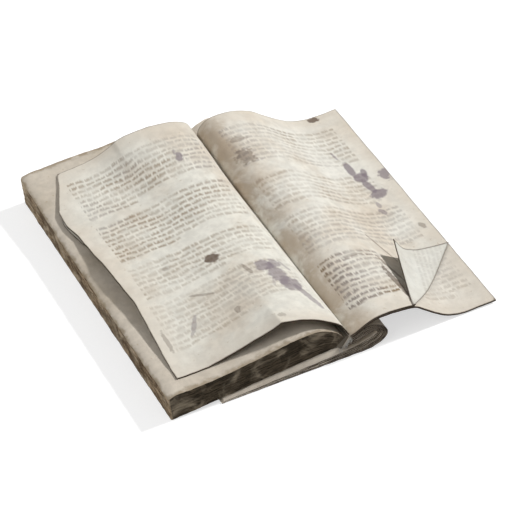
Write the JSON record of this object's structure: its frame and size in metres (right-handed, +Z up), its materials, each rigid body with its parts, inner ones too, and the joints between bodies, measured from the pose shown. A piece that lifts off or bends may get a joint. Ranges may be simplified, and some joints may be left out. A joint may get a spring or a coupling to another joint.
{
  "type": "open book",
  "caption": "Old coverless book lying open, front pages turned round and under it, a folded corner on the right-hand leaf.",
  "frame": {"origin": "on the table, straight below the middle of the gutter", "axes": "+Z up, +Y along the spine away from the reader, +X towards the right-hand page"},
  "size_m": [0.2149, 0.2122, 0.0381],
  "materials": {
    "page_paper": "aged printed paper, ivory with brown edges",
    "page_stack": "stack of aged leaves, brown at the cut edges",
    "lining_cloth": "remains of glued linen",
    "cord_thread": "twisted hemp cord"
  },
  "bodies": {
    "root": {"page_block": "page_stack", "turned_under_pages": "page_stack", "spine_lining": "lining_cloth", "left_top_leaf": "page_paper", "left_second_leaf": "page_paper", "right_top_leaf": "page_paper", "right_under_leaf": "page_paper", "sewing_cord_1": "cord_thread", "sewing_cord_2": "cord_thread", "sewing_cord_3": "cord_thread"}
  },
  "joints": []
}
